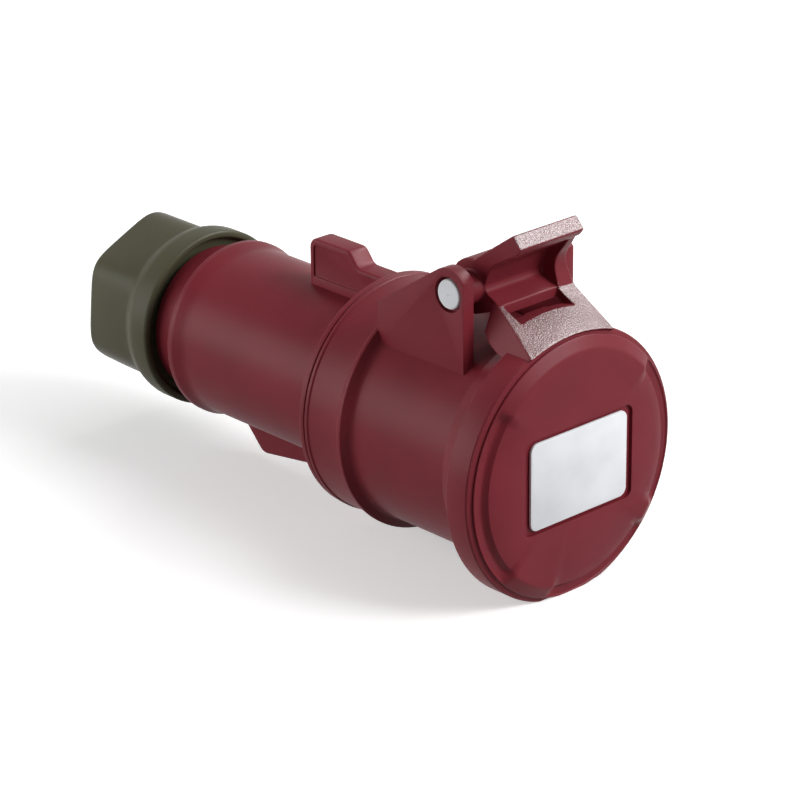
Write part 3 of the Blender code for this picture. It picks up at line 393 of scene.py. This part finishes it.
def make_ear(side):
    """One hinge ear: round over the pin, with a slope down to its rear corner."""
    radius = 7.9 * MM
    front = 6.2 * MM
    rear = HINGE.x + front - 35.7 * MM
    rear_height = 39.6 * MM
    root = 22 * MM
    away = Vector((rear - HINGE.x, rear_height - HINGE.z))
    first = (math.atan2(away.y, away.x) - math.acos(radius / away.length)) % math.tau
    last = math.acos(front / radius)
    top = arc(PIN_AXIS, radius, first, last, 24)
    outline = rounded([(rear, root), (rear, rear_height, 1.5 * MM), tuple(top[0])])
    outline += top[1:] + [Vector((HINGE.x + front, root))]
    low, high = sorted((side * EAR_INNER, side * EAR_OUTER))
    ear = make_object("ear", prism(outline, low, high))
    cut(ear, disc_prism(PIN_AXIS, PIN_BORE, -REACH, REACH))
    if side < 0:
        head_recess = 1.9 * MM
        cut(ear, disc_prism(PIN_AXIS, PIN_HEAD + 0.9 * MM, -REACH, -EAR_OUTER + head_recess))
    soften(ear, 0.45 * MM)
    return ear


def make_rear_housing():
    """The spigot inside the front housing, the shoulder, the barrel with its bead, and the neck."""
    shoulder_x = REAR_X - 1.9 * MM
    bead_x = BEAD_REAR_X + 2.4 * MM
    outline = rounded([
        (SPIGOT_STEP_X + 9.5 * MM, 28.6 * MM),
        (SPIGOT_STEP_X + 9.5 * MM, 31.2 * MM, 0.3 * MM),
        (SPIGOT_STEP_X - 0.3 * MM, 31.2 * MM),
        (SPIGOT_STEP_X - 0.3 * MM, 33.0 * MM, 0.3 * MM),
        (REAR_X, 33.0 * MM),
        (REAR_X, 36.9 * MM, 0.3 * MM),
        (shoulder_x, 36.9 * MM, 0.6 * MM),
        (shoulder_x - 3.5 * MM, BARREL_RADIUS + 0.4 * MM, 4 * MM),
        (BARREL_X, BARREL_RADIUS, 20 * MM),
        (bead_x + 4 * MM, BARREL_RADIUS, 12 * MM),
        (bead_x, BEAD_RADIUS, 1.5 * MM),
        (BEAD_REAR_X, BEAD_RADIUS, 0.8 * MM),
        (BEAD_REAR_X, NECK_RADIUS, 0.8 * MM),
        (NECK_REAR_X, NECK_RADIUS, 0.4 * MM),
        (NECK_REAR_X, 20.8 * MM),
        (THREAD_REAR_X, 20.8 * MM, 0.5 * MM),
        (THREAD_REAR_X, 17.0 * MM),
        (BEAD_REAR_X, 17.0 * MM),
        (BEAD_REAR_X + 7 * MM, 24.4 * MM, 3 * MM),
        (REAR_X - 5.3 * MM, 24.4 * MM),
        (REAR_X, 28.6 * MM),
    ])
    housing = make_object("rear_housing_skin", revolve(outline), RED)
    combine(housing, make_grip(), "UNION")
    combine(housing, make_keel(), "UNION")
    return finished(housing, "red_plastic", "housing", "rear_housing")


def make_grip():
    """The lug on top: a raised border round a sunk, bare panel on each side."""
    root = 25.5 * MM
    panel_low = 29.3 * MM
    rear = BODY_REAR_X - 33.8 * MM
    front = BODY_REAR_X - 16.1 * MM
    top = 41.4 * MM
    step = 36.7 * MM
    seat = REAR_X - 1 * MM
    half = 3.8 * MM
    outline = rounded([
        (rear, root),
        (rear, top, 3.0 * MM),
        (front, top, 3.0 * MM),
        (front + 0.8 * (top - step), step, 3.0 * MM),
        (seat, step),
        (seat, root),
    ])
    grip = make_object("grip", prism(outline, -half, half))
    soften(grip, 0.9 * MM, 4)
    border = 1.9 * MM
    panel = rounded([
        (rear + border, panel_low, 0.6 * MM),
        (rear + border, top - border, 1.6 * MM),
        (front - 0.6 * MM, top - border, 2.0 * MM),
        (front + 3.2 * MM, step - border, 2.0 * MM),
        (seat - 2.0 * MM, step - border, 0.6 * MM),
        (seat - 2.0 * MM, panel_low, 0.6 * MM),
    ])
    for side in (-1, 1):
        low, high = sorted((side * (half - 0.5 * MM), side * (half + 2 * MM)))
        cut(grip, prism(panel, low, high))
    soften(grip, 0.18 * MM, 2)
    return grip


def make_keel():
    """The lug below, with a straight lower edge and a sloping tail."""
    keel_x = BODY_REAR_X - 58.1 * MM
    tail_x = BODY_REAR_X - 68.3 * MM
    seat = REAR_X - 1 * MM
    root = -25.5 * MM
    low = -37.4 * MM
    rise = 0.147
    half = 3.8 * MM
    outline = rounded([
        (tail_x, -BARREL_RADIUS, 1.0 * MM),
        (keel_x, low, 4 * MM),
        (seat, low + rise * (seat - keel_x)),
        (seat, root),
        (tail_x, root),
    ])
    keel = make_object("keel", prism(outline, -half, half))
    soften(keel, 0.9 * MM, 4)
    return keel


def smooth(value):
    """A soft step from 0 to 1."""
    value = min(max(value, 0.0), 1.0)
    return value * value * (3 - 2 * value)


def channel_share(angle, radius):
    """How far the lid's face is let down to the channels' floor there, from 0 to 1."""
    wall = 0.9 * MM
    run_out = 4.0 * MM
    slope = 2.9 * MM
    inside = smooth((radius - CHANNEL_LOW) / slope) * smooth((CHANNEL_HIGH + wall / 2 - radius) / wall)
    best = 0.0
    for start, end in CHANNELS:
        along = min(angle - math.radians(start), math.radians(end) - angle) * radius
        best = max(best, smooth(along / run_out))
    return inside * best


def lid_stations():
    """The cap's outline, as (x, radius, whether a channel may let it down)."""
    inner = LID_RADIUS - LID_WALL
    face = rounded([
        (0, LID_RADIUS, 0.4 * MM),
        (LID_CROWN / 2, LID_RADIUS - 2.6 * MM, 0.9 * MM),
        (LID_CROWN, LID_RADIUS - 5.4 * MM, 2.4 * MM),
        (LID_CROWN, 28 * MM),
    ], 6)
    back = rounded([
        (LID_INNER_X, 1 * MM),
        (LID_INNER_X, inner, 0.8 * MM),
        (-LID_SKIRT, inner, 0.4 * MM),
        (-LID_SKIRT, LID_RADIUS, 0.6 * MM),
        (-SEAM_WIDTH, LID_RADIUS, 0.2 * MM),
        (-SEAM_WIDTH, LID_RADIUS - SEAM_DEPTH, 0.2 * MM),
        (0, LID_RADIUS - SEAM_DEPTH, 0.2 * MM),
    ])
    stations = [(x, r, False) for x, r in back]
    step = 0.16 * MM
    for (x0, r0), (x1, r1) in zip(face, face[1:]):
        pieces = max(1, round(abs(r1 - r0) / step)) if r1 > CHANNEL_LOW - 1 * MM else 1
        for i in range(pieces):
            share = i / pieces
            stations.append((x0 + (x1 - x0) * share, r0 + (r1 - r0) * share, True))
    return stations + [(LID_CROWN, 31.5 * MM, False), (LID_CROWN, 1 * MM, False)]


def lid_angles():
    """Angles of the cap's rays: even all round, and closer at the ends of the channels."""
    count = 180
    angles = [math.tau * i / count for i in range(count)]
    for start, end in CHANNELS:
        for edge, turn in ((start, 1), (end, -1)):
            angles += [math.radians(edge + turn * 0.4 * i) for i in range(12)]
    return sorted(set(round(angle, 5) for angle in angles))


def make_lid():
    """The cap with its channels and its flat below. The label's recess is cut and the arm added."""
    flat = STAND_HEIGHT - LID_DROP
    stations = lid_stations()
    shape = bmesh.new()
    rings = []
    for angle in lid_angles():
        ring = []
        down = -math.cos(angle)
        for x, r, on_face in stations:
            if on_face and x > CHANNEL_FLOOR:
                x += (CHANNEL_FLOOR - x) * channel_share(angle, r)
            if down > 0 and r * down > flat:
                r = flat / down
            ring.append(shape.verts.new((x, r * math.sin(angle), r * math.cos(angle))))
        rings.append(ring)
    for near, far in zip(rings, rings[1:] + rings[:1]):
        for j in range(len(stations)):
            k = (j + 1) % len(stations)
            shape.faces.new((near[j], near[k], far[k], far[j]))
    drop = (0, 0, -LID_DROP)
    cap = make_object("lid_skin", shifted(shape, drop), RED, GRAIN_AND_HIGHLIGHT_RED)
    # The turned skin leaves a small hole on the axis, which a plug fills.
    join(cap, shifted(swapped(disc_prism((0, 0), 2 * MM, LID_INNER_X, LID_CROWN)), drop))
    cut(cap, label_recess())
    combine(cap, make_arm(), "UNION")
    return finished(cap, "red_plastic", "lid", "lid")


def rounded_plate(width, height, corner, low_x, high_x, steps=8):
    """A rounded rectangle facing +X, at the label's height."""
    middle = -1.75 * MM
    outline = rounded([
        (-width / 2, middle - height / 2, corner),
        (width / 2, middle - height / 2, corner),
        (width / 2, middle + height / 2, corner),
        (-width / 2, middle + height / 2, corner),
    ], steps)
    return swapped(prism(outline, low_x, high_x))


def label_recess():
    floor_x = FRONT_X - 1.1 * MM
    width = LABEL_WIDTH + 2 * LABEL_MARGIN
    height = LABEL_HEIGHT + LABEL_MARGIN
    return rounded_plate(width, height, LABEL_CORNER, floor_x, LID_CROWN + 5 * MM)


def make_label():
    plate = rounded_plate(LABEL_WIDTH, LABEL_HEIGHT, LABEL_CORNER, FRONT_X - 0.8 * MM, FRONT_X)
    label = make_object("label_face", plate, WHITE)
    soften(label, 0.12 * MM, 2)
    return finished(label, "white_plastic", "lid", "label_plate")


def off_hinge(x, z, *radius):
    """A corner of an outline, given in millimetres from the hinge, with its fillet if it has one."""
    return (HINGE.x + x * MM, HINGE.z + z * MM, *(r * MM for r in radius))


def tapered(outline, near_inset=0.0, far_inset=0.0):
    """A prism between the arm's two sides, which draw together from its foot to its head."""
    shape = prism(outline, -1, 1)
    for vert in shape.verts:
        share = (vert.co.z - ARM_FOOT.y) / (ARM_HEAD.y - ARM_FOOT.y)
        far = vert.co.y > 0
        inset = -far_inset if far else near_inset
        vert.co.y = FOOT_SIDES[far] + (HEAD_SIDES[far] - FOOT_SIDES[far]) * share + inset
    return shape


def arm_block():
    """The slope from the lid's face up to the neck, open below and on its far side."""
    web_rear = ARM_HEAD.x - 2.5 * MM
    web_low = SKIRT_TOP - 5.2 * MM
    block = make_object("arm", tapered([
        (0, web_low - 1 * MM),
        (0, ARM_FOOT.y - 1 * MM),
        tuple(ARM_FOOT),
        tuple(ARM_HEAD),
        (web_rear, ARM_HEAD.y),
        (web_rear, SKIRT_TOP - 1.0 * MM),
        (web_rear + 3.1 * MM, SKIRT_TOP - 3.6 * MM),
        (-LID_SKIRT - 3.1 * MM, web_low),
        (-LID_SKIRT + 1 * MM, web_low - 1 * MM),
    ]))
    front_x = -LID_SKIRT - 0.3 * MM
    rear_x = web_rear - 2 * MM
    hollow = [
        (front_x, 0),
        (front_x, ARM_FOOT.y + ARM_SLOPE * (front_x - ARM_FOOT.x) - ARM_DROP),
        (ARM_HEAD.x, ARM_HEAD.y - ARM_DROP),
        (rear_x, ARM_HEAD.y - ARM_DROP),
        (rear_x, 0),
    ]
    cut(block, tapered(hollow, ARM_WALL, -ARM_WALL))
    return block


def neck_and_tab():
    """One outline: the knuckle round the pin, the hollow under the tab, and the tab."""
    knuckle = 8.4 * MM
    back = arc(PIN_AXIS, knuckle, math.radians(85), math.radians(275), 24)
    outline = rounded([
        (ARM_HEAD.x, ARM_HEAD.y - ARM_DROP / 2),
        tuple(ARM_HEAD),
        off_hinge(4.6, 0.2, 2.2),
        off_hinge(7.4, 7.8, 5.0),
        off_hinge(18.0, 14.0, 1.0),
        off_hinge(19.6, 16.0, 0.5),
        off_hinge(16.4, 19.6, 0.7),
        off_hinge(7.0, 13.0, 6.0),
        tuple(back[0]),
    ], 6)
    return prism(outline + back[1:], -NECK_HALF, NECK_HALF)


def far_web():
    """Closes the hollow under the tab on its far side."""
    seat_z = ARM_HEAD.y - ARM_DROP / 2
    outline = rounded([
        (HINGE.x + 2.0 * MM, seat_z),
        off_hinge(2.0, 8.0),
        (HINGE.x + 17.0 * MM, TAB_ROOT_Z),
        off_hinge(8.0, 5.0, 7.0),
        (HINGE.x + 9.0 * MM, seat_z),
    ], 6)
    return prism(outline, NECK_HALF - NECK_WEB, NECK_HALF)


def far_border():
    """A wedge in front of the far web, which spreads from the tab to the far edge of the slope."""
    seat_z = ARM_HEAD.y - ARM_DROP / 2
    outline = rounded([
        (HINGE.x + 8.8 * MM, seat_z),
        off_hinge(8.8, 10.0),
        (HINGE.x + 17.0 * MM, TAB_ROOT_Z),
        off_hinge(9.6, 4.4, 7.0),
        (HINGE.x + 12.4 * MM, seat_z),
    ], 6)
    spread = (HEAD_SIDES[1] - NECK_HALF) / (TAB_ROOT_Z - ARM_HEAD.y)
    wedge = prism(outline, NECK_HALF - NECK_WEB, NECK_HALF)
    for vert in wedge.verts:
        if vert.co.y > NECK_HALF - NECK_WEB / 2:
            vert.co.y += spread * (TAB_ROOT_Z - vert.co.z)
    return wedge


def arm_window():
    """The window through the slope, with a crowned sill and round upper corners."""
    near, far = -11.4 * MM, 10.2 * MM
    top = ARM_HEAD.y + 1.6 * MM
    sill = SKIRT_TOP + 2.2 * MM
    sill_crown = 0.5 * MM
    count = 12
    outline = rounded([
        (far, sill),
        (far, top, 2.0 * MM),
        (near, top, 2.0 * MM),
        (near, sill),
    ], 6)
    for i in range(1, count):
        share = i / count
        outline.append(Vector((near + (far - near) * share, sill + sill_crown * math.sin(math.pi * share))))
    return swapped(prism(outline, ARM_HEAD.x + 0.3 * MM, ARM_FOOT.x))


def crown_slope(arm):
    """Crowns the slope towards its foot, so that it meets the round of the lid."""
    crown = 2.9 * MM
    for vert in arm.data.vertices:
        share = smooth((ARM_HEAD.x - vert.co.x) / (ARM_HEAD.x - ARM_FOOT.x))
        under = ARM_FOOT.y + ARM_SLOPE * (vert.co.x - ARM_FOOT.x) - vert.co.z
        across = max(1 - (vert.co.y / FOOT_SIDES[1]) ** 2, 0)
        near_slope = smooth(1.6 - under / ARM_WALL) * smooth(1.5 + under / MM)
        vert.co.z += crown * share * across * near_slope


def grain_and_highlight_faces(arm):
    """Gives the slope and the end of the tab the coarse grain, with its darker red that is painted to make the
    highlight there read grey-white.
    """
    for material in (RED, GRAIN_AND_HIGHLIGHT_RED):
        arm.data.materials.append(material)
    for polygon in arm.data.polygons:
        on_slope = polygon.center.x > ARM_HEAD.x + 0.3 * MM
        on_tab = polygon.center.z > HINGE.z + 11 * MM
        # Only faces turned up and forward, towards the shine lamp, take the darker red: a painted highlight tone
        # on real grain.
        if (on_slope or on_tab) and polygon.normal.z > 0.35 and polygon.normal.x > 0.2:
            polygon.material_index = 1


def make_arm():
    """The arm as the mould makes it: one body with soft edges, made by remeshing its joined shapes."""
    arm = arm_block()
    join(arm, neck_and_tab())
    join(arm, far_web())
    join(arm, far_border())
    boss_reach = EAR_INNER - 0.4 * MM
    join(arm, disc_prism(PIN_AXIS, 4.8 * MM, -boss_reach, 0))
    cut(arm, arm_window())
    cut(arm, disc_prism(PIN_AXIS, PIN_BORE, -REACH, REACH))
    remesh = arm.modifiers.new("remesh", "REMESH")
    remesh.mode = "VOXEL"
    remesh.voxel_size = 0.3 * MM
    ease = arm.modifiers.new("ease", "SMOOTH")
    ease.factor = 0.5
    ease.iterations = 4
    settle(arm)
    crown_slope(arm)
    grain_and_highlight_faces(arm)
    # The cap's inside stays free of the arm.
    rear_x, front_x = -LID_SKIRT - 0.3 * MM, 0.5 * MM
    middle = LID_RADIUS - LID_WALL / 2
    inside = revolve([(rear_x, 1 * MM), (rear_x, middle), (front_x, middle), (front_x, 1 * MM)], 96)
    cut(arm, shifted(inside, (0, 0, -LID_DROP)))
    return arm


def nut_flats(angle, sharpness=11):
    """Radius of a hexagon with rounded corners."""
    total = 0.0
    for i in range(6):
        facing = math.cos(angle - NUT_TURN - math.radians(30 + 60 * i))
        if facing > 0:
            total += (facing / (NUT_FLATS / 2)) ** sharpness
    return total ** (-1 / sharpness)


def flats_or_round(angle, radius, sharpness=90):
    """The larger of the hexagon and a circle, with a soft change between them."""
    return (nut_flats(angle) ** sharpness + radius**sharpness) ** (1 / sharpness)


def make_nut():
    """Six flats that run out in a hollow sweep to the round skirt, and a thick rounded lip."""
    sections = []
    corner = 2.2 * MM
    for i in range(7):
        turn = math.radians(15 * i)
        x = NUT_REAR_X + corner * (1 - math.cos(turn))
        inset = corner * (1 - math.sin(turn))
        sections.append((x, lambda angle, inset=inset: nut_flats(angle) - inset))
    skirt_x = NUT_MOUTH_X - 6 * MM
    count = 24
    for i in range(count + 1):
        share = i / count
        x = skirt_x - 10 * MM * (1 - share)
        radius = NUT_MOUTH_RADIUS * (1 - 0.24 * (1 - share) ** 2)
        sections.append((x, lambda angle, radius=radius: flats_or_round(angle, radius)))
    inner = NUT_MOUTH_RADIUS - 2.1 * MM
    thread = 21.2 * MM
    lip = rounded([
        (skirt_x, NUT_MOUTH_RADIUS),
        (NUT_MOUTH_X, NUT_MOUTH_RADIUS, 1.0 * MM),
        (NUT_MOUTH_X, inner, 0.8 * MM),
        (NUT_MOUTH_X - 2.4 * MM, inner - 0.8 * MM, 1 * MM),
        (NECK_REAR_X - 2.1 * MM, thread),
        (THREAD_REAR_X - 1.9 * MM, thread),
        (NUT_REAR_X + 3.2 * MM, 17.2 * MM),
        (NUT_REAR_X + 3.2 * MM, 13 * MM, 0.5 * MM),
        (NUT_REAR_X, 13 * MM, 0.8 * MM),
    ])
    for x, radius in lip[1:]:
        sections.append((x, lambda angle, radius=radius: radius))
    nut = make_object("gland_nut_skin", loft(sections, 240), DARK)
    return finished(nut, "dark_plastic", "housing", "gland_nut")


def make_pin():
    """The pin through both ears, with its head let into the near one."""
    head_back = -EAR_OUTER + 1.6 * MM
    tip = EAR_OUTER - 0.3 * MM
    outline = rounded([
        (-EAR_OUTER, 0.2 * MM),
        (-EAR_OUTER, PIN_HEAD, 0.5 * MM),
        (head_back, PIN_HEAD),
        (head_back, PIN_RADIUS),
        (tip, PIN_RADIUS, 0.4 * MM),
        (tip, 0.2 * MM),
    ])
    shape = swapped(revolve(outline, 64))
    pin = make_object("hinge_pin_skin", shifted(shape, HINGE), WHITE)
    return finished(pin, "white_plastic", "housing", "hinge_pin")


def dress_nodes():
    """Gives every frame mesh a finish. The inner pieces show with it, and the others are replaced."""
    finishes = {
        "insert_plastic": GREY,
        "black_rubber": RUBBER,
        "brass": BRASS,
        "steel": STEEL,
        "red_plastic": RED,
        "dark_plastic": DARK,
        "white_plastic": WHITE,
    }
    for part in frame["record"]["subparts"]:
        mesh = frame["nodes"][part["node"]].data
        mesh.materials.clear()
        mesh.materials.append(finishes[part["material_slot"]])


def make_camera():
    back = Vector((
        math.sin(CAMERA_AZIMUTH) * math.cos(CAMERA_ELEVATION),
        -math.cos(CAMERA_AZIMUTH) * math.cos(CAMERA_ELEVATION),
        math.sin(CAMERA_ELEVATION),
    ))
    data = bpy.data.cameras.new("camera")
    data.lens = CAMERA_LENS
    data.sensor_width = 36
    camera = bpy.data.objects.new("camera", data)
    bpy.context.scene.collection.objects.link(camera)
    turn = back.to_track_quat("Z", "Y").to_matrix()
    camera.matrix_world = (turn @ Matrix.Rotation(CAMERA_ROLL, 3, "Z")).to_4x4()
    camera.location = SHIFT + CAMERA_TARGET + back * CAMERA_DISTANCE
    bpy.context.scene.camera = camera


def make_lamp(name, direction, distance, width, height, power):
    """A soft box facing the object. Its width runs level, along the object where it can."""
    data = bpy.data.lights.new(name, "AREA")
    data.shape = "RECTANGLE"
    data.size = width
    data.size_y = height
    data.energy = power
    lamp = bpy.data.objects.new(name, data)
    bpy.context.scene.collection.objects.link(lamp)
    away = Vector(direction).normalized()
    lamp.location = SHIFT + away * distance
    lamp.rotation_mode = "QUATERNION"
    lamp.rotation_quaternion = away.to_track_quat("Z", "Y")
    return lamp


def seen_straight(tree):
    """1 for camera, glossy and transmission rays, 0 for the diffuse light."""
    path = node(tree, "ShaderNodeLightPath")
    value = path.outputs["Is Camera Ray"]
    for name in ("Is Glossy Ray", "Is Transmission Ray"):
        larger = node(tree, "ShaderNodeMath", operation="MAXIMUM")
        tree.links.new(value, larger.inputs[0])
        tree.links.new(path.outputs[name], larger.inputs[1])
        value = larger.outputs["Value"]
    return value


def make_world():
    """A white surround, seen at full strength and lighting the object only a little."""
    world = bpy.data.worlds.new("studio")
    bpy.context.scene.world = world
    world.use_nodes = True
    tree = world.node_tree
    background = tree.nodes["Background"]
    strength = remap(tree, seen_straight(tree), (0.0, 1.0), (0.14, 1.0))
    tree.links.new(strength, background.inputs["Strength"])
    background.inputs["Color"].default_value = (1, 1, 1, 1)


def make_floor():
    """A white floor. It glows by itself, more so past the lamps' reach, and keeps the object's shadow."""
    shape = bmesh.new()
    bmesh.ops.create_grid(shape, x_segments=1, y_segments=1, size=4.0)
    material = bpy.data.materials.new("floor")
    tree = tree_of(material)
    shader = tree.nodes["Principled BSDF"]
    shader.inputs["Roughness"].default_value = 0.8
    seen = seen_straight(tree)
    tone = node(tree, "ShaderNodeMix", data_type="RGBA")
    tone.inputs["A"].default_value = (0.22, 0.22, 0.22, 1)
    tone.inputs["B"].default_value = (0.92, 0.92, 0.92, 1)
    tree.links.new(seen, tone.inputs["Factor"])
    tree.links.new(tone.outputs["Result"], shader.inputs["Base Color"])

    place = node(tree, "ShaderNodeTexCoord")
    away = node(tree, "ShaderNodeVectorMath", operation="LENGTH")
    tree.links.new(place.outputs["Object"], away.inputs[0])
    strength = remap(tree, away.outputs["Value"], (0.15, 0.9), (0.42, 1.0))
    share = node(tree, "ShaderNodeMath", operation="MULTIPLY")
    tree.links.new(seen, share.inputs[0])
    tree.links.new(strength, share.inputs[1])
    glow = node(tree, "ShaderNodeEmission")
    tree.links.new(share.outputs["Value"], glow.inputs["Strength"])
    total = node(tree, "ShaderNodeAddShader")
    tree.links.new(shader.outputs["BSDF"], total.inputs[0])
    tree.links.new(glow.outputs["Emission"], total.inputs[1])
    tree.links.new(total.outputs["Shader"], tree.nodes["Material Output"].inputs["Surface"])
    make_object("floor", shape, material)


def make_lamps():
    make_lamp("key_right", (0.72, 0.40, 0.57), 1.5, 0.8, 0.8, 21)
    make_lamp("fill_left", (-0.66, -0.80, 0.12), 1.4, 1.1, 1.0, 17)
    make_lamp("top_behind", (0.10, 0.45, 0.88), 1.3, 1.2, 0.9, 4.5)
    # This one shows only in the gloss, on the grained slope and along the upper edges.
    shine = make_lamp("shine_behind", (0.20, 0.66, 0.72), 1.3, 1.1, 0.4, 26)
    shine.visible_diffuse = False


dress_nodes()
make_front_housing()
make_rear_housing()
make_lid()
make_label()
make_nut()
make_pin()
make_camera()
make_world()
make_floor()
make_lamps()
bpy.context.scene.view_settings.view_transform = "Standard"
